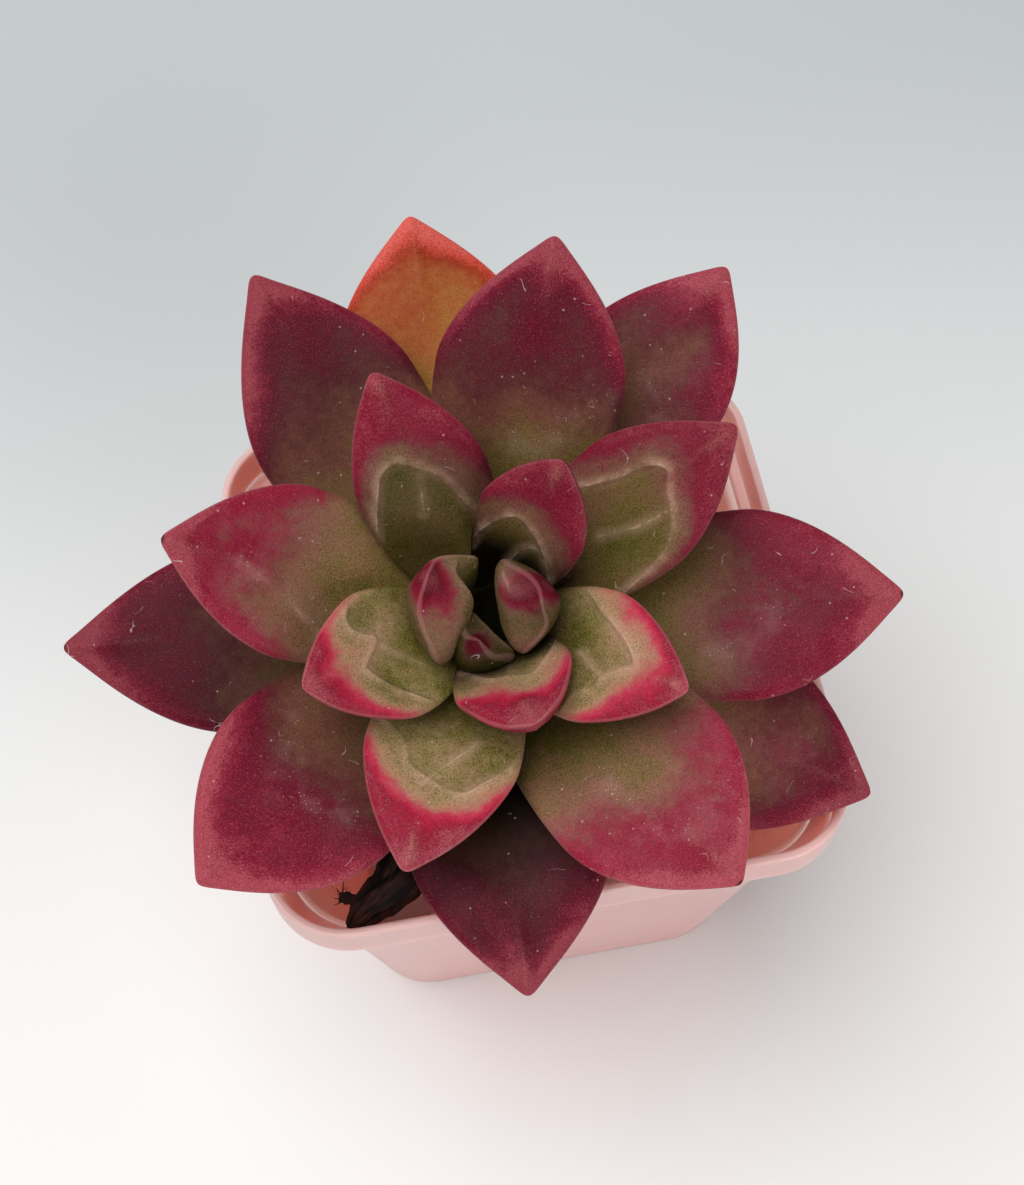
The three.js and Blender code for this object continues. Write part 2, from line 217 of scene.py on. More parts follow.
# Low relief on a leaf in millimetres, and how many waves make its flesh uneven.
PRESS_DEPTH = 0.25
RIDGE_HEIGHT = 0.12
RIDGE_WIDTH = 0.4
CREST_HEIGHT = 0.28
LIP_HEIGHT = 0.14
HEART_LIP_HEIGHT = 0.05
WAVE_HEIGHT = 0.08
WAVES = 4

# The woody stem's bend and radius, and its broken root ends, as the solids have them, with the number of
# hair roots at each end. A root end is its start, its end, and its radius at each.
STEM_ROUTE = [
    (-5, -1, 74.4, 4.2),
    (-6, -4.5, 69.5, 4),
    (-12, -16, 66.5, 3.9),
    (-18.5, -27.5, 67.3, 3.7),
    (-24, -34.6, 67.4, 3.5),
    (-28.6, -37.6, 66.4, 2.5),
    (-31.2, -39.5, 64.2, 1.3),
]
ROOT_STUBS = [
    (-28.4, -37.2, 66.8, -32.4, -35.2, 66, 1, 0.8),
    (-24, -34.5, 66, -23.4, -33.2, 61.4, 0.9, 0.4),
    (-18, -27, 65.5, -20.2, -25, 60.5, 1, 0.4),
    (-12, -16, 64.5, -9.5, -18, 58.5, 1.1, 0.4),
]
HAIR_ROOTS = (16, 6, 6, 6)

# The bark's grooves: how many, how deep and wide each is, and the depth at which it is painted black for the
# shade in the groove. Depths are shares of the stem's radius and widths are in radians.
GROOVES = 5
GROOVE_DEPTH = 0.13
GROOVE_WIDTH = 0.16
GROOVE_SHADE_DEPTH = 0.16

# How finely the round pieces are made: rings along a piece and points round it.
STEM_RINGS = 220
STEM_POINTS = 96
CROWN_RINGS = 60
CROWN_POINTS = 64
STUB_RINGS = 24
STUB_POINTS = 20
HAIR_RINGS = 10
HAIR_POINTS = 6
DRAIN_POINTS = 40

# Leaf colours from olive at the base to the red of the tip, and the bark's from dark to light, as (place on
# the ramp, colour).
OLD_LEAF = [
    (0.0, "#55521a"), (0.2, "#67502e"), (0.36, "#5f2f29"), (0.52, "#400f19"),
    (0.7, "#4e0f20"), (0.85, "#731d2f"), (1.0, "#8e3a45"),
]
YOUNG_LEAF = [
    (0.0, "#3b3f10"), (0.15, "#605a26"), (0.3, "#83734a"), (0.42, "#a07f5e"), (0.52, "#a9685a"),
    (0.63, "#b3364c"), (0.75, "#a91f3c"), (0.87, "#8a1f35"), (1.0, "#99424d"),
]
FADING_LEAF = [
    (0.0, "#8a7f2c"), (0.3, "#a0752f"), (0.5, "#a5602d"), (0.72, "#983216"), (0.9, "#c2483a"),
    (1.0, "#cb5a50"),
]
BARK = [(0.3, "#0f0504"), (0.46, "#220d09"), (0.62, "#401d14"), (0.82, "#6e4433")]

# Half the floor's side in millimetres, and how strongly the room lights the scene.
FLOOR_HALF = 3000
ROOM_LIGHT = 0.32

# The start of the random draws.
RANDOM_SEED = 21


# Materials

SMOOTH = {"interpolation_type": "SMOOTHSTEP"}


def colour(code):
    """An sRGB hex value as linear red, green, blue and alpha."""
    values = [int(code[i:i + 2], 16) / 255 for i in (1, 3, 5)]
    linear = [v / 12.92 if v <= 0.04045 else ((v + 0.055) / 1.055) ** 2.4 for v in values]
    return (*linear, 1.0)


def add(tree, kind, inputs=(), output=0, stops=(), **settings):
    """Adds a node and returns one of its outputs, or all of them if output is None.

    Each input is a value, or the output of another node to link from, in order or by key. stops are the
    places and colours of a ramp."""
    node = tree.nodes.new("ShaderNode" + kind)
    for name, value in settings.items():
        setattr(node, name, value)
    for key, value in inputs.items() if isinstance(inputs, dict) else enumerate(inputs):
        if isinstance(value, bpy.types.NodeSocket):
            tree.links.new(value, node.inputs[key])
        else:
            node.inputs[key].default_value = value
    while stops and len(node.color_ramp.elements) < len(stops):
        node.color_ramp.elements.new(0.5)
    for i, (place, code) in enumerate(stops):
        node.color_ramp.elements[i].position = place
        node.color_ramp.elements[i].color = colour(code)
    return node.outputs[output] if output is not None else node.outputs


def start_material(name):
    """A material with an empty node tree."""
    material = bpy.data.materials.new(name)
    material.use_nodes = True
    material.node_tree.nodes.clear()
    return material, material.node_tree


def coat(tree, skin, code, *shares, blend="MIX"):
    """A colour laid over the skin, as thick as the product of the shares."""
    share = shares[0]
    for other in shares[1:]:
        share = add(tree, "Math", [share, other], operation="MULTIPLY")
    return add(tree, "Mix", {0: share, 6: skin, 7: colour(code)}, 2, data_type="RGBA", blend_type=blend)


def specks(tree, place, spacing_mm, size_mm, chosen):
    """Round dots: one in each cell of a Voronoi pattern, kept where the cell's random value is above
    chosen."""
    cells = add(tree, "TexVoronoi", {"Vector": place, "Scale": 1 / (spacing_mm * MM)}, None)
    size = size_mm / spacing_mm
    dot = add(tree, "MapRange", [cells["Distance"], size, size / 2], **SMOOTH)
    value = add(tree, "SeparateColor", [cells["Color"]])
    kept = add(tree, "Math", [value, chosen], operation="GREATER_THAN")
    return add(tree, "Math", [dot, kept], operation="MULTIPLY")


def leaf_material(name, young_stops, old_stops):
    """Waxy succulent skin over watery flesh: olive at the base, crimson towards tip and margin, in fine
    stipples, with a powdery bloom in patches, pale pressed lines, and a little dust. Satin, and light
    goes a millimetre into it."""
    material, tree = start_material(name)
    place = add(tree, "TexCoord", output="Object")
    fields = ("tone", "youth", "brightness_and_shade", "bloom", "edge_mm", "line_mm", "line_strength", "frost_and_highlight",
              "dusting", "tip_dark")
    tone, youth, brightness_and_shade, bloom, edge, line, line_strength, frost_and_highlight, dusting, tip_dark = (
        add(tree, "Attribute", output="Fac", attribute_name=field) for field in fields)

    # Noises by the size of their features in millimetres, their detail and roughness. The skin's cells
    # are about 0.1 mm, drawn twice as coarse in the grain so that they show.
    noises = ((8, 3, 0.5), (1.5, 3, 0.6), (5, 4, 0.65), (0.22, 2, 0.7), (7, 2, 0.4), (3.4, 2, 0.5))
    patches, mottle, haze, grain, curl, rubbing = (
        add(tree, "TexNoise",
            {"Vector": place, "Scale": 1 / (size * MM), "Detail": detail, "Roughness": rough})
        for size, detail, rough in noises)

    # Olive turns to red in stipples: each noise shifts the place on the ramp either way.
    for pattern, reach in ((patches, 0.24), (mottle, 0.3), (grain, 0.28)):
        shift = add(tree, "Math", [pattern, reach, -reach / 2], operation="MULTIPLY_ADD")
        tone = add(tree, "Math", [tone, shift], operation="ADD")
    old = add(tree, "ValToRGB", [tone], stops=old_stops)
    young = add(tree, "ValToRGB", [tone], stops=young_stops)
    skin = add(tree, "Mix", {0: youth, 6: old, 7: young}, 2, data_type="RGBA")

    # Wax bloom lies in cloudy patches, and as pale frost just past a pressed arch; the same pale coat along
    # the crest to the tip is a painted highlight.
    cloudy = add(tree, "MapRange", [haze, 0.42, 0.64], **SMOOTH)
    cloud = add(tree, "Math", [cloudy, bloom], operation="MULTIPLY")
    skin = coat(tree, skin, "#a05a64", cloud, 0.34)
    in_haze = add(tree, "MapRange", [haze, 0.34, 0.62, 0.15, 1.0], **SMOOTH)
    in_grain = add(tree, "MapRange", [grain, 0.3, 0.65, 0.4, 1.0], **SMOOTH)
    skin = coat(tree, skin, "#b78d74", frost_and_highlight, in_haze, in_grain, 0.34)

    # Darker cells and lighter ones, then the whole leaf's lightness, which carries painted shade at the
    # bases and on shaded leaves and a painted highlight along the old leaves' margins.
    dark_cells = add(tree, "MapRange", [grain, 0.54, 0.36, 0.0, 0.52], **SMOOTH)
    skin = coat(tree, skin, "#9c6a70", dark_cells, blend="MULTIPLY")
    light_cells = add(tree, "MapRange", [grain, 0.6, 0.74, 0.0, 0.26], **SMOOTH)
    skin = coat(tree, skin, "#bf8480", light_cells)
    grey = add(tree, "CombineColor", [brightness_and_shade] * 3)
    skin = add(tree, "Mix", {0: 1.0, 6: skin, 7: grey}, 2, data_type="RGBA", blend_type="MULTIPLY")

    # A thin paler line runs along the margin, stronger on young leaves: partly the skin's pale edge, partly
    # a painted highlight on the crisp edge.
    rim = add(tree, "MapRange", [edge, 0.3, 0.08, 0.0, 0.18], **SMOOTH)
    rim_youth = add(tree, "MapRange", [youth, 0.0, 1.0, 0.3, 1.0], **SMOOTH)
    skin = coat(tree, skin, "#c58f8c", rim, rim_youth)

    # Pale ridges of wax where another leaf's edge was pressed: a sharp core in a soft halo.
    wobble = add(tree, "Math", [mottle, 0.5, -0.25], operation="MULTIPLY_ADD")
    line = add(tree, "Math", [line, wobble], operation="ADD")
    off_line = add(tree, "Math", [line], operation="ABSOLUTE")
    core = add(tree, "MapRange", [off_line, 0.22, 0.03, 0.0, 0.55], **SMOOTH)
    halo = add(tree, "MapRange", [off_line, 1.5, 0.0, 0.0, 0.24], **SMOOTH)
    ridge = add(tree, "Math", [core, halo], operation="MAXIMUM")
    broken = add(tree, "MapRange", [haze, 0.34, 0.6, 0.2, 1.0], **SMOOTH)
    skin = coat(tree, skin, "#c2a189", ridge, line_strength, broken)

    # Hair-thin scuffs, and dust that is thick along the dustings.
    curl = add(tree, "Math", [curl, 0.5], operation="SUBTRACT")
    curl = add(tree, "Math", [curl], operation="ABSOLUTE")
    hair = add(tree, "MapRange", [curl, 0.003, 0.0005], **SMOOTH)
    rubbed = add(tree, "MapRange", [rubbing, 0.62, 0.7], **SMOOTH)
    scuffs = add(tree, "Math", [hair, rubbed], operation="MULTIPLY")
    gathered = add(tree, "MapRange", [haze, 0.36, 0.52], **SMOOTH)
    thick = add(tree, "Math", [specks(tree, place, 0.55, 0.09, 0.4), dusting], operation="MULTIPLY")
    thick = add(tree, "Math", [thick, gathered], operation="MULTIPLY")
    coarse = add(tree, "Math", [specks(tree, place, 1.6, 0.2, 0.82), 0.6], operation="MULTIPLY")
    dust = add(tree, "Math", [scuffs, thick], operation="MAXIMUM")
    dust = add(tree, "Math", [dust, coarse], operation="MAXIMUM")
    skin = coat(tree, skin, "#d9c8c0", dust, 0.5)
    film = add(tree, "MapRange", [haze, 0.4, 0.7], **SMOOTH)
    skin = coat(tree, skin, "#cdb6ae", dusting, film, 0.07)

    # The hard point at the tip of some leaves has dried brown.
    skin = coat(tree, skin, "#3f1d15", tip_dark)

    rough = add(tree, "Math", [cloud, 0.25, 0.34], operation="MULTIPLY_ADD")
    rough = add(tree, "Math", [mottle, 0.14, rough], operation="MULTIPLY_ADD")
    height = add(tree, "Math", [grain, 0.4], operation="MULTIPLY")
    height = add(tree, "Math", [mottle, 0.6, height], operation="MULTIPLY_ADD")
    bump = add(tree, "Bump", {"Height": height, "Strength": 0.5, "Distance": 0.22 * MM})
    shader = add(tree, "BsdfPrincipled", {
        "Base Color": skin,
        "Roughness": rough,
        "IOR": 1.42,
        "Specular IOR Level": 0.08,
        "Normal": bump,
        "Subsurface Weight": 0.12,
        "Subsurface Radius": (1.0, 0.3, 0.2),
        "Subsurface Scale": 1.0 * MM,
    })
    add(tree, "OutputMaterial", [shader], None)
    return material


def pot_material():
    """Moulded pink polypropylene: satin, and faintly see-through; its glow of salmon inside is partly
    painted, as a lighter salmon on the inner walls. Crumbs and a thin stain of dried soil lie on its inner
    walls."""
    material, tree = start_material("moulded_pink_polypropylene")
    place = add(tree, "TexCoord", output="Object")
    inside = add(tree, "Attribute", output="Fac", attribute_name="inside")

    # Noises by the size of their features in millimetres, their detail and roughness.
    noises = ((14, 3, 0.5), (6, 5, 0.7), (0.9, 4, 0.7))
    cloudy, soil, scuff = (
        add(tree, "TexNoise",
            {"Vector": place, "Scale": 1 / (size * MM), "Detail": detail, "Roughness": rough})
        for size, detail, rough in noises)
    pinks = {0: cloudy, 6: colour("#e9a7a4"), 7: colour("#edb2ad")}
    plastic = add(tree, "Mix", pinks, 2, data_type="RGBA")
    # Painted light: the inner walls are a lighter salmon for the glow of light passing through the wall and
    # bouncing inside.
    plastic = coat(tree, plastic, "#ffb4ad", inside)

    # Dried soil, more of it towards the floor.
    height = add(tree, "SeparateXYZ", [place], "Z")
    low = add(tree, "MapRange", [height, POT_HEIGHT * MM, 4 * MM, 0.15, 1.0], **SMOOTH)
    stain = add(tree, "MapRange", [soil, 0.52, 0.75, 0.0, 0.3], **SMOOTH)
    dirt = add(tree, "Math", [specks(tree, place, 1.4, 0.3, 0.62), stain], operation="MAXIMUM")
    dirt = add(tree, "Math", [dirt, low], operation="MULTIPLY")
    dirt = add(tree, "Math", [dirt, inside], operation="MULTIPLY")
    plastic = coat(tree, plastic, "#5a2a20", dirt)

    rough = add(tree, "Math", [dirt, 0.3, 0.26], operation="MULTIPLY_ADD")
    rough = add(tree, "Math", [scuff, 0.15, rough], operation="MULTIPLY_ADD")
    bump = add(tree, "Bump", {"Height": scuff, "Strength": 0.12, "Distance": 0.05 * MM})
    shader = add(tree, "BsdfPrincipled", {
        "Base Color": plastic,
        "Roughness": rough,
        "IOR": 1.49,
        "Normal": bump,
        "Subsurface Weight": 0.9,
        "Subsurface Radius": (1.0, 0.5, 0.45),
        "Subsurface Scale": 7 * MM,
    })
    add(tree, "OutputMaterial", [shader], None)
    return material


def bark_material():
    """Dry cork and wood: brown, matte, with long fibres, and painted black in its grooves for the shade
    there.
    """
    material, tree = start_material("dry_bark")
    place = add(tree, "UVMap", uv_map="grain")
    groove = add(tree, "Attribute", output="Fac", attribute_name="groove")
    stretched = add(tree, "Mapping", {"Vector": place, "Scale": (1.0, 0.16, 1.0)})
    fibres = {"Vector": stretched, "Scale": 1 / (0.45 * MM), "Detail": 4, "Roughness": 0.65}
    fibres = add(tree, "TexNoise", fibres)
    blocks = add(tree, "TexNoise", {"Vector": place, "Scale": 1 / (2.5 * MM), "Detail": 3})
    share = add(tree, "Math", [blocks, 0.35], operation="MULTIPLY")
    share = add(tree, "Math", [fibres, 0.65, share], operation="MULTIPLY_ADD")
    bark = add(tree, "ValToRGB", [share], stops=BARK)
    # Painted shade: black in the deepest grooves.
    bark = coat(tree, bark, "#080303", groove)
    bump = add(tree, "Bump", {"Height": share, "Strength": 0.9, "Distance": 0.45 * MM})
    shader = add(tree, "BsdfPrincipled", {
        "Base Color": bark,
        "Roughness": 0.8,
        "IOR": 1.45,
        "Specular IOR Level": 0.3,
        "Normal": bump,
    })
    add(tree, "OutputMaterial", [shader], None)
    return material


def floor_material():
    """Smooth pale laminate, matte, painted a little greyer towards the back for the light falling off there.
    """
    material, tree = start_material("pale_laminate")
    place = add(tree, "TexCoord", output="Object")
    back = add(tree, "SeparateXYZ", [place], "Y")
    # Painted light: the floor darkens towards the back as the light would fall off.
    share = add(tree, "MapRange", [back, -60 * MM, 190 * MM], **SMOOTH)
    painted_falloff = {0: share, 6: colour("#e0e0de"), 7: colour("#bbbfc0")}
    painted_falloff = add(tree, "Mix", painted_falloff, 2, data_type="RGBA")
    shader = add(tree, "BsdfPrincipled", {"Base Color": painted_falloff, "Roughness": 0.6, "Specular IOR Level": 0.3})
    add(tree, "OutputMaterial", [shader], None)
    return material


# Mesh building

def make_piece(name, points, faces, material, attributes=None, uv=None):
    """A mesh object at the origin, from points in millimetres. uv gives each point its place in metres."""
    mesh = bpy.data.meshes.new(name)
    mesh.from_pydata((np.asarray(points) * MM).tolist(), [], faces.tolist())
    mesh.polygons.foreach_set("use_smooth", np.ones(len(faces), dtype=bool))
    for key, values in (attributes or {}).items():
        layer = mesh.attributes.new(key, "FLOAT", "POINT")
        layer.data.foreach_set("value", np.asarray(values, dtype=np.float32).ravel())
    if uv is not None:
        corners = np.empty(len(mesh.loops), dtype=np.int32)
        mesh.loops.foreach_get("vertex_index", corners)
        layer = mesh.uv_layers.new(name="grain")
        layer.data.foreach_set("uv", np.asarray(uv)[corners].ravel().astype(np.float32))
    mesh.materials.append(material)
    mesh.update()
    piece = bpy.data.objects.new(name, mesh)
    bpy.context.collection.objects.link(piece)
    return piece


def tube_faces(rows, columns):
    """Quads round each pair of rows, as pairs of triangles alike, then a fan on each end point.
    The start point follows the grid and the end point follows that."""
    row, column = np.meshgrid(np.arange(rows - 1), np.arange(columns), indexing="ij")
    after = (column + 1) % columns
    a = row * columns + column
    b = row * columns + after
    c = a + columns
    d = b + columns
    sides = np.stack([a, b, d, a, d, c], axis=-1).reshape(-1, 3)
    first = np.arange(columns)
    second = (first + 1) % columns
    start = np.full(columns, rows * columns)
    last = (rows - 1) * columns
    start_fan = np.stack([start, second, first], axis=-1)
    end_fan = np.stack([last + first, last + second, start + 1], axis=-1)
    return np.concatenate([sides, start_fan, end_fan])


def spline(knots, shares):
    """A Catmull-Rom curve through the knots, at shares from 0 to 1, with its ends mirrored."""
    knots = np.asarray(knots, dtype=float)
    padded = np.vstack([2 * knots[0] - knots[1], knots, 2 * knots[-1] - knots[-2]])
    place = np.clip(shares, 0, 1) * (len(knots) - 1)
    before = np.minimum(place.astype(int), len(knots) - 2)
    t = (place - before)[:, None]
    p0, p1, p2, p3 = (padded[before + k] for k in range(4))
    return 0.5 * (2 * p1 + (p2 - p0) * t + (2 * p0 - 5 * p1 + 4 * p2 - p3) * t ** 2
                  + (3 * p1 - p0 - 3 * p2 + p3) * t ** 3)


def ease(value):
    """A step from 0 to 1 with soft ends."""
    value = np.clip(value, 0, 1)
    return value * value * (3 - 2 * value)


def turned(angle):
    """Cosine and sine of an angle in degrees."""
    return math.cos(math.radians(angle)), math.sin(math.radians(angle))


# The rosette's own directions: its axis, and two more square to it.
AXIS = np.array([
    turned(LEAN)[1] * turned(LEAN_TOWARDS)[0],
    turned(LEAN)[1] * turned(LEAN_TOWARDS)[1],
    turned(LEAN)[0],
])
ACROSS = np.array([1.0, 0, 0]) - AXIS * AXIS[0]
ACROSS /= np.linalg.norm(ACROSS)
AWAY = np.cross(AXIS, ACROSS)


# The leaves

def half_width_at(order, station):
    """Half a blade's width in millimetres. It grows from the base to the widest station and falls to the
    tip as one less a power. Its square gains a term at the tip that rounds the nose."""
    _, length, width, _, widest, tip_power, _, _ = LEAVES[order]
    base_share = max(0.62 - 0.02 * order, 0.42)
    nose = 0.55 if order < HEART_LEAVES else 0.9
    grows = base_share + (1 - base_share) * (1 - (1 - station / widest) ** 2)
    falls = 1 - np.clip((station - widest) / (1 - widest), 0, 1) ** tip_power
    blade = width / 2 * np.where(station < widest, grows, falls)
    to_tip = (1 - station) * length
    return np.sqrt(blade ** 2 + 2 * nose * to_tip * np.exp(-to_tip / (1.6 * nose)))


def flattening(station):
    """How far the cup of a blade has flattened towards its tip."""
    return ease((station - 0.6) / 0.35)


def section(order, station, q, is_face):
    """Height of the blade's surface over its centre line. It is a cupped lens: the face is the square root
    of one less a power of the place across, which grows into a low roof at the tip, and the back is a
    rounder power curve blended with a keel. The cup lifts the margins by the square of the place across."""
    width = LEAVES[order][2]
    in_heart = order < HEART_LEAVES
    cup = HEART_CUP if in_heart else 0.32 - 0.011 * order
    body = 0.5 + 0.5 * ease(station / 0.45)
    depth = (4.6 + 0.07 * width) * body * (1 - station ** (3 if in_heart else 5)) ** 0.7
    keel = 0.15 + 0.55 * station ** 3
    flat = flattening(station)
    off = np.abs(q)
    face = FACE_SHARE * ((1 - flat / 2) * np.sqrt(1 - off ** 2.8) + flat / 2 * (1 - off))
    back = -BACK_SHARE * ((1 - keel) * (1 - off ** 2.5) ** 0.6 + keel * (1 - off))
    lift = cup * half_width_at(order, station) * (1 - flat)
    return depth * np.where(is_face, face, back) + lift * q * q


def drawn(line):
    """A curve through a line's few points, in eight steps for each."""
    return spline(line, np.linspace(0, 1, 8 * len(line)))


def distance_to_line(order, line, station, q):
    """Millimetres from each point of the blade to a curve through the line's points, in the blade laid
    flat."""
    length = LEAVES[order][1]
    path = drawn(line)
    path_x = path[:, 1] * half_width_at(order, path[:, 0])
    path_y = path[:, 0] * length
    x, y = np.broadcast_arrays(q * half_width_at(order, station), station * length)
    nearest = np.full(x.shape, FAR)
    for x0, y0, x1, y1 in zip(path_x[:-1], path_y[:-1], path_x[1:], path_y[1:]):
        run = (x1 - x0) ** 2 + (y1 - y0) ** 2
        t = np.clip(((x - x0) * (x1 - x0) + (y - y0) * (y1 - y0)) / run, 0, 1)
        nearest = np.minimum(nearest, np.hypot(x - x0 - t * (x1 - x0), y - y0 - t * (y1 - y0)))
    return nearest


def blade_surface(order, along, q, height):
    """Points of the blade. Its centre line is an arc that rises from the crown, and each section stands
    square to it, turned by the leaf's twist."""
    turn_off, length, _, rise, _, _, sweep, twist = LEAVES[order]
    turn = FIRST_TURN + GOLDEN_TURN * order + turn_off
    out = ACROSS * turned(turn)[0] + AWAY * turned(turn)[1]
    side = np.cross(AXIS, out)
    attach = -CROWN_HEIGHT * order / (len(LEAVES) - 1)
    bow = max(60 - 8 * order, 20)
    slope_start = math.radians(rise - bow / 2)
    slope = np.radians(rise + bow * (along / length - 0.5))
    arc_radius = length / math.radians(bow)
    outward = CROWN_RADIUS + arc_radius * (np.sin(slope) - math.sin(slope_start))
    upward = attach + arc_radius * (math.cos(slope_start) - np.cos(slope))
    drift = sweep * (along / length) ** 2
    centre = HEART + outward[..., None] * out + upward[..., None] * AXIS + drift[..., None] * side
    tangent = np.cos(slope)[..., None] * out + np.sin(slope)[..., None] * AXIS
    beside = turned(twist)[0] * side + turned(twist)[1] * np.cross(tangent, side)
    lift = np.cross(tangent, beside)
    half_width = half_width_at(order, np.maximum(along / length, 0))
    return centre + (half_width * q)[..., None] * beside + height[..., None] * lift


def pressed_marks(order, station, q):
    """How far each point is inside the pressed arch, how far from the nearest line, both in millimetres,
    and how strongly that line shows."""
    arch_mm = np.full((station.size, q.size), -FAR)
    line_mm = np.full(arch_mm.shape, FAR)
    strength = np.zeros(arch_mm.shape)
    if order + 1 in ARCHES:
        arch = ARCHES[order + 1]
        line_mm = distance_to_line(order, arch, station, q)
        strength = np.ones(arch_mm.shape)
        path = drawn(arch)
        arch_mm = np.where(np.interp(q, path[:, 1], path[:, 0]) > station, line_mm, -line_mm)
    for leaf, shown, line in CREASES:
        if leaf == order + 1:
            crease_mm = distance_to_line(order, line, station, q)
            strength = np.where(crease_mm < line_mm, shown, strength)
            line_mm = np.minimum(line_mm, crease_mm)
    return arch_mm, line_mm, strength


def make_leaf(order, material, rng):
    """A fleshy leaf on a grid of stations along it and places across its face and its back.

    The rows close up towards the tip and the columns towards the margins. A pressed arch sinks the face
    behind it and leaves a low ridge along it. A low crest runs to the tip and a low lip along the margin.
    In the heart, flesh fills the cup beyond the arch."""
    _, length, width, *_ = LEAVES[order]
    youth, brightness_and_shade, base_share, lit_from, bloom, redness, dark_point = LOOKS[order]
    root = max(6.5 - order, 1.5)

    rows = int(56 + 1.9 * length)
    step = np.arange(rows) / rows
    share = 0.5 * np.sin(np.pi / 2 * step) + 0.5 * step
    share = np.concatenate([share, 1 - (1 - share[-1]) * np.array([0.55, 0.25, 0.08])])
    along = ((length + root) * share - root)[:, None]
    station = np.maximum(along / length, 0)

    face_columns = int(40 + 2.4 * width)
    back_columns = 33
    u = np.linspace(1, -1, face_columns)[:-1]
    face_q = 0.75 * np.sin(np.pi / 2 * u) + 0.25 * u
    back_q = np.sin(np.pi / 2 * np.linspace(-1, 1, back_columns)[:-1])
    q = np.concatenate([face_q, back_q])[None, :]
    is_face = (np.arange(q.size) < face_q.size)[None, :]
    half_width = half_width_at(order, station)
    edge_mm = (1 - np.abs(q)) * half_width
    to_tip = (1 - station) * length

    has_arch = order + 1 in ARCHES
    arch_mm, line_mm, strength = pressed_marks(order, station, q)
    strength = strength * is_face * ease(edge_mm / 1.2)

    height = section(order, station, q, is_face)
    if order < HEART_LEAVES:
        cup_height = HEART_CUP * half_width * (1 - flattening(station)) * (1 - q * q)
        height = height + cup_height * ease(0.5 - arch_mm / 2) * is_face
    if has_arch:
        height = height - PRESS_DEPTH * ease(arch_mm / 0.8) * is_face * ease(edge_mm / 2)
    height = height + RIDGE_HEIGHT * np.exp(-(line_mm / RIDGE_WIDTH) ** 2) * strength
    crest = np.exp(-(q * half_width / 0.8) ** 2) * ease((station - 0.7) / 0.25) * ease(to_tip / 1.5)
    lip = np.exp(-((edge_mm - 1.1) / 0.7) ** 2) * ease((station - 0.15) / 0.3) * ease(to_tip / 4)
    lip_height = HEART_LIP_HEIGHT if order < HEART_LEAVES else LIP_HEIGHT
    height = height + (CREST_HEIGHT * crest + lip_height * lip) * is_face

    # Slow unevenness of the flesh, from a few waves drawn for this leaf.
    waves = 0
    for _ in range(WAVES):
        pace_s, pace_q = rng.uniform(1.5, 5), rng.uniform(0.6, 2.2)
        phase = rng.uniform(0, 2 * np.pi, 2)
        waves = waves + np.sin(pace_s * np.pi * station + phase[0]) * np.sin(pace_q * np.pi * q + phase[1])
    height = height + WAVE_HEIGHT * waves * ease(station / 0.2) * ease((1 - station) / 0.15)

    grid = blade_surface(order, along, q, height)
    tip = blade_surface(order, np.array([[float(length)]]), np.zeros((1, 1)), np.zeros((1, 1)))
    points = np.concatenate([grid.reshape(-1, 3), grid[0].mean(axis=0)[None, :], tip.reshape(1, 3)])

    # Tone, from olive to red. With an arch, the flesh behind it stays green and the rest reddens with
    # the distance from it. Without one, it reddens along the leaf. The margin is redder in both.
    margin = np.exp(-(edge_mm / (1.2 if has_arch else 2.6)) ** 1.5) * ease((station - 0.3) / 0.4)
    inner = (0.16 + 0.17 * np.exp(-np.maximum(arch_mm, 0) / 6)) * (0.3 + 0.7 * youth)
    if order < HEART_LEAVES:
        outer = 0.34 + 0.1 * ease(-arch_mm / 5)
    else:
        outer = 0.36 + 0.5 * ease(-arch_mm / 7) * (0.5 + 0.5 * ease((station - 0.45) / 0.35))
    arched = outer + (inner - outer) * ease((arch_mm + 1) / 2)
    plain = 0.05 + 0.5 * ease((station - 0.3) / 0.48) + 0.3 * ease((station - 0.78) / 0.22)
    margin_tone = 0.04 if order < HEART_LEAVES else 0.2 if has_arch else 0.28
    tone = (arched if has_arch else plain) + margin_tone * margin + redness + 0.04 * waves
    tone = np.minimum(tone, 0.86 if has_arch else 1.0)
    tone = tone + 0.12 * ease((station - 0.85) / 0.15) * (order >= HEART_LEAVES) - 0.1 * (1 - is_face)
    for leaf, at, across, radius, added in BLUSHES:
        if leaf == order + 1:
            off_x = q * half_width - across * half_width_at(order, at)
            tone = tone + added * np.exp(-(np.hypot(off_x, (station - at) * length) / radius) ** 2)
    # Pale wax just past the arch, and along the crest near the tip a painted highlight in the same coat.
    frost_and_highlight = np.exp(-np.maximum(-arch_mm, 0) / 1.5) * ease((0.3 - arch_mm) / 0.6) * has_arch * is_face
    frost_and_highlight = np.maximum(frost_and_highlight, (0.7 if has_arch else 0.2) * crest * is_face)
    # A band along the old leaves' margins is made lighter: partly a painted highlight on the rolled edge,
    # partly paler bloom there.
    margin_light = 1 + 0.1 * np.exp(-(edge_mm / 3) ** 2) * ease((station - 0.3) / 0.3) * (order >= YOUNG_LEAVES)
    # Painted light and shade: the leaf's lightness, partly painted shade, times a painted shade at the base
    # that ends at lit_from.
    shade = margin_light * brightness_and_shade * (base_share + (1 - base_share) * ease((station - lit_from + 0.4) / 0.4))
    dusting = np.zeros(arch_mm.shape)
    for leaf, line in DUSTINGS:
        if leaf == order + 1:
            dust_mm = distance_to_line(order, line, station, q)
            dusting = np.maximum(dusting, np.exp(-(dust_mm / DUST_WIDTH) ** 2))

    def to_points(values):
        filled = np.broadcast_to(values, arch_mm.shape).reshape(-1)
        return np.concatenate([filled, [filled[0]], [filled[-1]]])

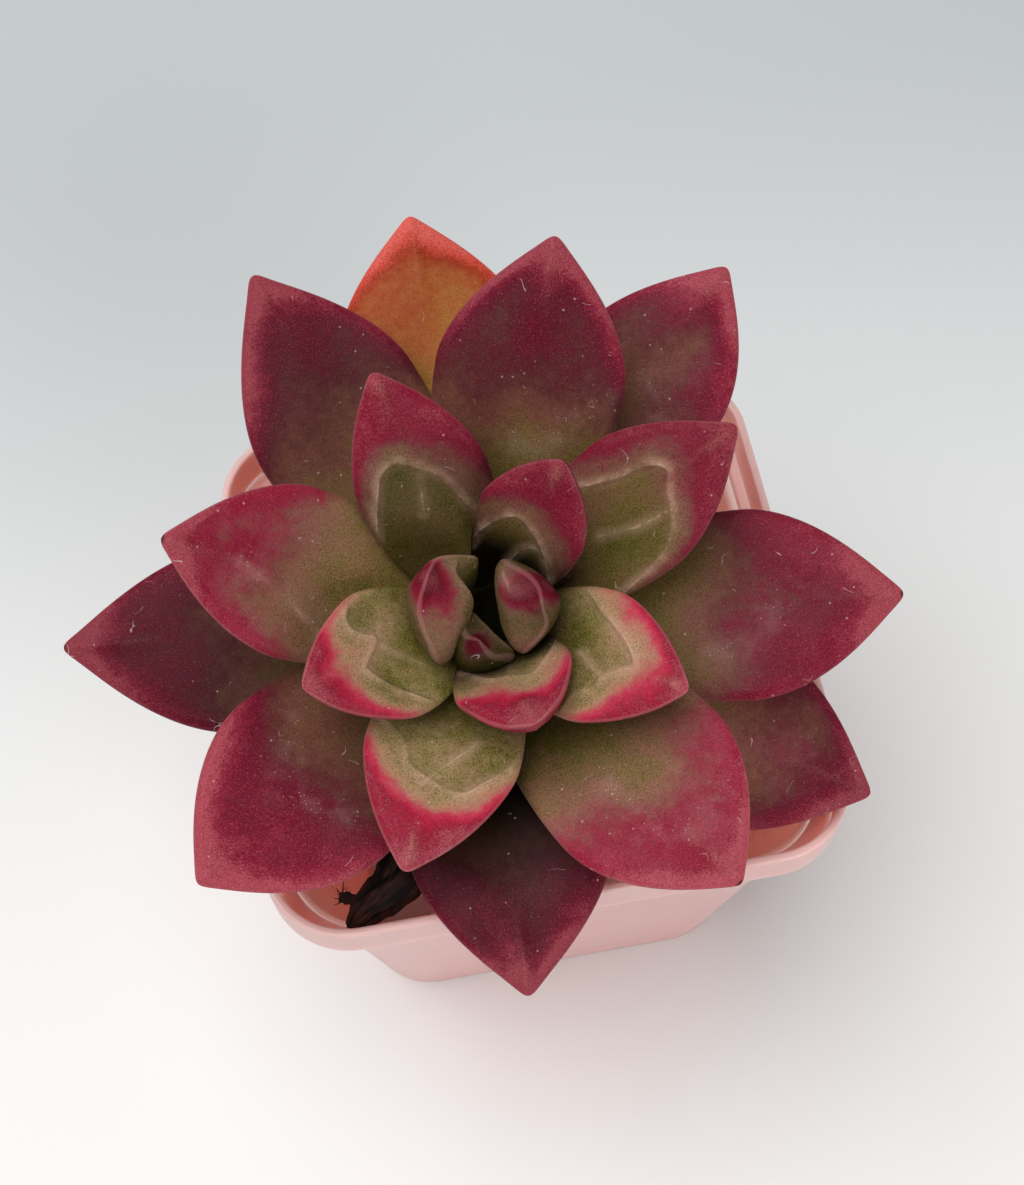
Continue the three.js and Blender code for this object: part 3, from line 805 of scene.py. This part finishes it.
    fields = {
        "tone": tone,
        "youth": youth,
        "brightness_and_shade": shade,
        "bloom": bloom * (0.5 + 0.5 * is_face),
        "edge_mm": edge_mm + FAR * (1 - ease((station - 0.1) / 0.25)),
        "line_mm": line_mm,
        "line_strength": strength,
        "frost_and_highlight": frost_and_highlight * ease(edge_mm / 1.5),
        "dusting": dusting * is_face,
        "tip_dark": ease((dark_point - to_tip) / 0.3 + 0.5) if dark_point else 0.0,
    }
    name = f"leaf_{order + 1:02d}"
    fields = {key: to_points(values) for key, values in fields.items()}
    leaf = make_piece(f"{name}_skin", points, tube_faces(station.size, q.size), material, fields)
    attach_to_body(leaf, "root")
    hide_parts(name)
    return leaf


# The pot

def square_ring(side, corner, z):
    """One level of the pot: a square with round corners, with a point 2 mm off each end of a corner."""
    ring = []
    centre = side / 2 - corner
    off = 2
    for quarter in range(4):
        sign_x = 1 if quarter in (0, 3) else -1
        sign_y = 1 if quarter < 2 else -1
        arc = np.radians(90 * quarter + np.linspace(0, 90, 17))
        x = sign_x * centre + corner * np.cos(arc)
        y = sign_y * centre + corner * np.sin(arc)
        before = (x[0] + off * math.sin(arc[0]), y[0] - off * math.cos(arc[0]))
        after = (x[-1] - off * math.sin(arc[-1]), y[-1] + off * math.cos(arc[-1]))
        ring.append([before, *zip(x, y), after])
    flat = np.array(ring).reshape(-1, 2)
    return np.column_stack([flat, np.full(len(flat), z)])


def make_pot(material):
    """The pot's wall: a rounded square carried up the outside, over the rim and down the inside.

    Each level is the side and corner of the square at that height. An edge is a quarter circle of levels,
    with one more level just off each end of it to hold the flats flat."""
    body_side = RIM_SIDE - 2 * COLLAR_STEP
    body_top = POT_HEIGHT - COLLAR_HEIGHT
    collar_foot = body_top + 0.3
    levels = []

    def level(side, corner, inset, z, within):
        levels.append((side - 2 * inset, corner - inset, z, within))

    def wall(start, end, within):
        for share in np.linspace(0.02, 0.98, 8):
            side, corner, z = [a + (b - a) * share for a, b in zip(start, end)]
            level(side, corner, 0, z, within)

    def edge(side, corner, z, radius, from_angle, to_angle, depth, within):
        for angle in np.radians(np.linspace(from_angle, to_angle, 7)):
            level(side, corner, depth + radius - radius * np.cos(angle), z + radius * np.sin(angle), within)

    level(FOOT_SIDE * 0.5, FOOT_CORNER * 0.5, 0, 0, 0)
    level(FOOT_SIDE, FOOT_CORNER, 2, 0, 0)
    edge(FOOT_SIDE, FOOT_CORNER, FOOT_ROUND, FOOT_ROUND, -90, -4, 0, 0)
    wall((FOOT_SIDE, FOOT_CORNER, FOOT_ROUND + 0.1), (body_side, RIM_CORNER, body_top), 0)
    level(body_side, RIM_CORNER, 0, body_top + 0.1, 0)
    level(body_side, RIM_CORNER, -0.25, collar_foot, 0)
    level(RIM_SIDE, RIM_CORNER, 1.0, collar_foot, 0)
    edge(RIM_SIDE, RIM_CORNER, collar_foot + COLLAR_ROUND, COLLAR_ROUND, -90, 0, 0, 0)
    wall((RIM_SIDE, RIM_CORNER, body_top + 1), (RIM_SIDE, RIM_CORNER, POT_HEIGHT - 0.7), 0)
    edge(RIM_SIDE, RIM_CORNER, POT_HEIGHT - RIM_OUTER_ROUND, RIM_OUTER_ROUND, 0, 90, 0, 0)
    inner_start = POT_WALL - 2 * RIM_INNER_ROUND
    edge(RIM_SIDE, RIM_CORNER, POT_HEIGHT - RIM_INNER_ROUND, RIM_INNER_ROUND, 90, 180, inner_start, 0)
    wall((RIM_SIDE - 2 * POT_WALL, RIM_CORNER - POT_WALL, POT_HEIGHT - 0.5),
         (RIM_SIDE - 2 * POT_WALL, RIM_CORNER - POT_WALL, body_top - POT_WALL + 1), 1)
    inner = body_side - 2 * POT_WALL
    level(RIM_SIDE, RIM_CORNER, POT_WALL + 0.1, body_top - POT_WALL + 0.5, 1)
    level(RIM_SIDE, RIM_CORNER, POT_WALL + 0.5, body_top - POT_WALL + 0.15, 1)
    level(body_side, RIM_CORNER, POT_WALL - 0.5, body_top - POT_WALL, 1)
    level(body_side, RIM_CORNER, POT_WALL - 0.1, body_top - POT_WALL - 0.2, 1)
    floor_side = FOOT_SIDE - 2 * POT_WALL
    wall((inner, RIM_CORNER - POT_WALL, body_top - POT_WALL - 0.5),
         (floor_side + 0.6, FOOT_CORNER - POT_WALL, POT_FLOOR + 2.2), 1)
    for angle in np.radians(np.linspace(10, 90, 6)):
        inset = FLOOR_ROUND * (1 - np.cos(angle))
        level(floor_side, FOOT_CORNER - POT_WALL, inset, POT_FLOOR + FLOOR_ROUND * (1 - np.sin(angle)), 1)
    level(floor_side, FOOT_CORNER - POT_WALL, 4, POT_FLOOR, 1)
    level(floor_side * 0.5, FOOT_CORNER * 0.5, 0, POT_FLOOR, 1)

    rings = np.array([square_ring(side, corner, z) for side, corner, z, within in levels])
    rows, columns = rings.shape[:2]
    points = np.concatenate([rings.reshape(-1, 3), [[0, 0, 0], [0, 0, POT_FLOOR]]])
    inside = np.repeat([within for *_, within in levels], columns)
    inside = np.concatenate([inside, [0, 1]])
    pot = make_piece("pot_shell", points, tube_faces(rows, columns), material, {"inside": inside})
    cut_drains(pot)
    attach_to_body(pot, "root")
    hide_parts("pot")


def cut_drains(pot):
    """Four round drain holes through the floor, cut by one Boolean that is applied."""
    rounds = []
    faces = []
    angle = np.linspace(0, 2 * np.pi, DRAIN_POINTS, endpoint=False)
    circle = np.column_stack([DRAIN_RADIUS * np.cos(angle), DRAIN_RADIUS * np.sin(angle)])
    for x in (-DRAIN_OFFSET, DRAIN_OFFSET):
        for y in (-DRAIN_OFFSET, DRAIN_OFFSET):
            base = sum(len(part) for part in rounds)
            for z in (-POT_FLOOR, 2 * POT_FLOOR):
                rounds.append(np.column_stack([circle + (x, y), np.full(DRAIN_POINTS, z)]))
            rounds.append(np.array([[x, y, -POT_FLOOR], [x, y, 2 * POT_FLOOR]]))
            faces.append(tube_faces(2, DRAIN_POINTS) + base)
    cutter = make_piece("drain_cutter", np.concatenate(rounds), np.concatenate(faces), pot.data.materials[0])
    hole = pot.modifiers.new("drains", "BOOLEAN")
    hole.operation = "DIFFERENCE"
    hole.solver = "EXACT"
    hole.object = cutter
    bpy.context.view_layer.objects.active = pot
    bpy.ops.object.modifier_apply(modifier=hole.name)
    cutter_mesh = cutter.data
    bpy.data.objects.remove(cutter)
    bpy.data.meshes.remove(cutter_mesh)


# The stem

def bar(route, radius, columns, relief=None):
    """Rings square to a route: each ring's directions are the last ring's, carried along without twist.
    relief is the share by which each point stands out, one for each ring and column."""
    tangent = np.gradient(route, axis=0)
    tangent /= np.linalg.norm(tangent, axis=1)[:, None]
    normal = np.empty_like(tangent)
    first = np.cross(tangent[0], [0.3, 0.9, 0.2])
    normal[0] = first / np.linalg.norm(first)
    for i in range(1, len(route)):
        carried = normal[i - 1] - tangent[i] * (normal[i - 1] @ tangent[i])
        normal[i] = carried / np.linalg.norm(carried)
    binormal = np.cross(tangent, normal)
    angle = np.linspace(0, 2 * np.pi, columns, endpoint=False)
    relief = np.zeros((len(route), columns)) if relief is None else relief
    size = radius[:, None] * (1 + relief)
    rings = (route[:, None] + size[..., None] * (np.cos(angle)[None, :, None] * normal[:, None]
                                                + np.sin(angle)[None, :, None] * binormal[:, None]))
    points = np.concatenate([rings.reshape(-1, 3), route[:1], route[-1:]])
    length = np.concatenate([[0], np.cumsum(np.linalg.norm(np.diff(route, axis=0), axis=1))])
    typical_radius = 3
    around, ahead = np.broadcast_arrays(angle[None, :] * typical_radius, length[:, None])
    uv = np.stack([around, ahead], axis=-1).reshape(-1, 2)
    uv = np.concatenate([uv, uv[:1], uv[-1:]]) * MM
    # The share of painted shade at each point, full where the groove is deepest.
    groove = np.concatenate([ease(-relief / GROOVE_SHADE_DEPTH).reshape(-1), [0, 0]])
    return points, tube_faces(len(route), columns), uv, groove


def join_bars(name, bars, material):
    """Several bars as one piece."""
    points, faces, places, grooves = [], [], [], []
    start = 0
    for bar_points, bar_faces, bar_places, bar_grooves in bars:
        points.append(bar_points)
        faces.append(bar_faces + start)
        places.append(bar_places)
        grooves.append(bar_grooves)
        start += len(bar_points)
    fields = {"groove": np.concatenate(grooves)}
    return make_piece(name, np.concatenate(points), np.concatenate(faces), material, fields,
                      np.concatenate(places))


def make_stem(material, rng):
    """The woody stem: a bent bar with long grooves and swollen rings at old leaf scars, its crown, and
    its broken root ends."""
    knots = np.array(STEM_ROUTE, dtype=float)
    share = np.linspace(0, 1, STEM_RINGS)
    route = spline(knots[:, :3], share)
    radius = np.interp(share * (len(knots) - 1), np.arange(len(knots)), knots[:, 3])
    angle = np.linspace(0, 2 * np.pi, STEM_POINTS, endpoint=False)[None, :]
    along = share[:, None]
    relief = 0.06 * np.sin(3 * angle + 4 * along) + 0.04 * np.sin(60 * along)
    relief = relief + 0.035 * np.sin(11 * angle + 9 * np.sin(5 * along))
    relief = relief + 0.03 * np.sin(23 * angle + 14 * along + 3 * np.sin(17 * along))
    for _ in range(GROOVES):
        groove = rng.uniform(0, 2 * np.pi) + 0.5 * np.sin(rng.uniform(4, 9) * along)
        apart = np.angle(np.exp(1j * (angle - groove)))
        relief = relief - GROOVE_DEPTH * np.exp(-(apart / GROOVE_WIDTH) ** 2)
    bars = [bar(route, radius, STEM_POINTS, relief)]

    crown = CROWN_RADIUS - GAP
    foot = -CROWN_HEIGHT - CROWN_FOOT
    levels = [foot, foot + 1.5, -CROWN_TOP - 3, -CROWN_TOP - 1, -CROWN_TOP - 0.2]
    widths = [0.8 * crown, crown, crown, 0.65 * crown, 0.35 * crown]
    heights = np.linspace(foot, -CROWN_TOP, CROWN_RINGS)
    scar_spacing = 2.2
    scars = 1 + 0.03 * np.sin(heights * 2 * np.pi / scar_spacing)
    radii = np.interp(heights, levels, widths) * scars
    bars.append(bar(HEART + heights[:, None] * AXIS, radii, CROWN_POINTS))

    for x0, y0, z0, x1, y1, z1, thick, thin in ROOT_STUBS:
        place = np.linspace(0, 1, STUB_RINGS)[:, None]
        line = np.array([x0, y0, z0]) + place * (np.array([x1, y1, z1]) - (x0, y0, z0))
        line = line + 0.25 * np.sin(place * 7) * np.array([[0.4, -0.6, 0.3]])
        size = np.interp(place[:, 0], [0, 1], [thick, thin]) * (1 + 0.12 * np.sin(place[:, 0] * 19))
        bars.append(bar(line, size, STUB_POINTS))
    stem = join_bars("stem_bark", bars, material)
    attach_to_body(stem, "root")
    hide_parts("stem")


def make_rootlets(material, rng):
    """Dry hair roots at the broken root ends: thin bars that wander off each end."""
    bars = []
    for stub, count in zip(ROOT_STUBS, HAIR_ROOTS):
        end = np.array(stub[3:6])
        ahead = end - np.array(stub[:3])
        ahead /= np.linalg.norm(ahead)
        for _ in range(count):
            start = end - ahead * rng.uniform(0, 1.5) + rng.normal(0, 0.3, 3)
            heading = ahead * 0.5 + rng.normal(0, 0.7, 3)
            reach = rng.uniform(0.8, 2.4)
            knots = [start]
            for _ in range(3):
                heading = heading + rng.normal(0, 0.45, 3)
                knots.append(knots[-1] + heading / np.linalg.norm(heading) * reach / 3)
            route = spline(knots, np.linspace(0, 1, HAIR_RINGS))
            bars.append(bar(route, np.linspace(0.11, 0.05, HAIR_RINGS), HAIR_POINTS))
    rootlets = join_bars("hair_roots", bars, material)
    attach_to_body(rootlets, "root")


# Camera, floor and light

def make_camera():
    """The camera looks at the pot's mouth from VIEW_DISTANCE, and stands aside so that the mouth's centre
    falls on its pixel."""
    azimuth, elevation, roll = (math.radians(v) for v in (VIEW_AZIMUTH, VIEW_ELEVATION, VIEW_ROLL))
    back = Vector((math.sin(azimuth) * math.cos(elevation),
                   -math.cos(azimuth) * math.cos(elevation),
                   math.sin(elevation)))
    level_right = Vector((0, 0, 1)).cross(back).normalized()
    level_up = back.cross(level_right)
    right = level_right * math.cos(roll) + level_up * math.sin(roll)
    up = level_up * math.cos(roll) - level_right * math.sin(roll)
    focal_pixels = FOCAL_LENGTH / SENSOR * FRAME_PIXELS[1]
    off_x = (MOUTH_CENTRE_PIXEL[0] - FRAME_PIXELS[0] / 2) / focal_pixels * VIEW_DISTANCE
    off_y = -(MOUTH_CENTRE_PIXEL[1] - FRAME_PIXELS[1] / 2) / focal_pixels * VIEW_DISTANCE
    data = bpy.data.cameras.new("camera")
    data.lens = FOCAL_LENGTH
    data.sensor_width = SENSOR
    data.clip_start = 0.01
    data.clip_end = 20
    camera = bpy.data.objects.new("camera", data)
    bpy.context.collection.objects.link(camera)
    camera.location = Vector((0, 0, POT_HEIGHT * MM)) + back * VIEW_DISTANCE - right * off_x - up * off_y
    camera.rotation_mode = "QUATERNION"
    camera.rotation_quaternion = Matrix((right, up, back)).transposed().to_quaternion()
    bpy.context.scene.camera = camera


def make_floor():
    """A wide flat floor under the pot, which isn't part of the object."""
    half = FLOOR_HALF
    corners = np.array([[-half, -half, 0], [half, -half, 0], [half, half, 0], [-half, half, 0]])
    floor = make_piece("floor", corners, np.array([[0, 1, 2], [0, 2, 3]]), floor_material())


def make_light(name, place, size, power):
    """A round area lamp aimed at the pot's mouth."""
    data = bpy.data.lights.new(name, "AREA")
    data.shape = "DISK"
    data.size = size
    data.energy = power
    light = bpy.data.objects.new(name, data)
    bpy.context.collection.objects.link(light)
    light.location = place
    light.rotation_mode = "QUATERNION"
    aim = Vector((0, 0, POT_HEIGHT * MM)) - Vector(place)
    light.rotation_quaternion = aim.to_track_quat("-Z", "Y")


def make_lights():
    """A wide soft lamp above and a little to the back and left, a weaker one low in front for the pot, and
    pale surroundings."""
    make_light("soft_lamp", place=(-0.34, 0.08, 1.05), size=1.1, power=12.3)
    make_light("front_lamp", place=(0.35, -0.8, 0.5), size=0.6, power=4.0)
    world = bpy.data.worlds.new("pale_room")
    world.use_nodes = True
    world.node_tree.nodes["Background"].inputs[0].default_value = colour("#eef1f4")
    world.node_tree.nodes["Background"].inputs[1].default_value = ROOM_LIGHT
    bpy.context.scene.world = world
    bpy.context.scene.view_settings.view_transform = "Standard"


make_camera()
make_floor()
make_lights()

leaf_skin = leaf_material("waxy_leaf_skin", YOUNG_LEAF, OLD_LEAF)
fading_skin = leaf_material("waxy_fading_leaf", FADING_LEAF, FADING_LEAF)
rng = np.random.default_rng(RANDOM_SEED)
for order in range(len(LEAVES)):
    fading = order == len(LEAVES) - 1
    leaf = make_leaf(order, fading_skin if fading else leaf_skin, rng)

make_pot(pot_material())
bark = bark_material()
make_stem(bark, rng)
make_rootlets(bark, rng)
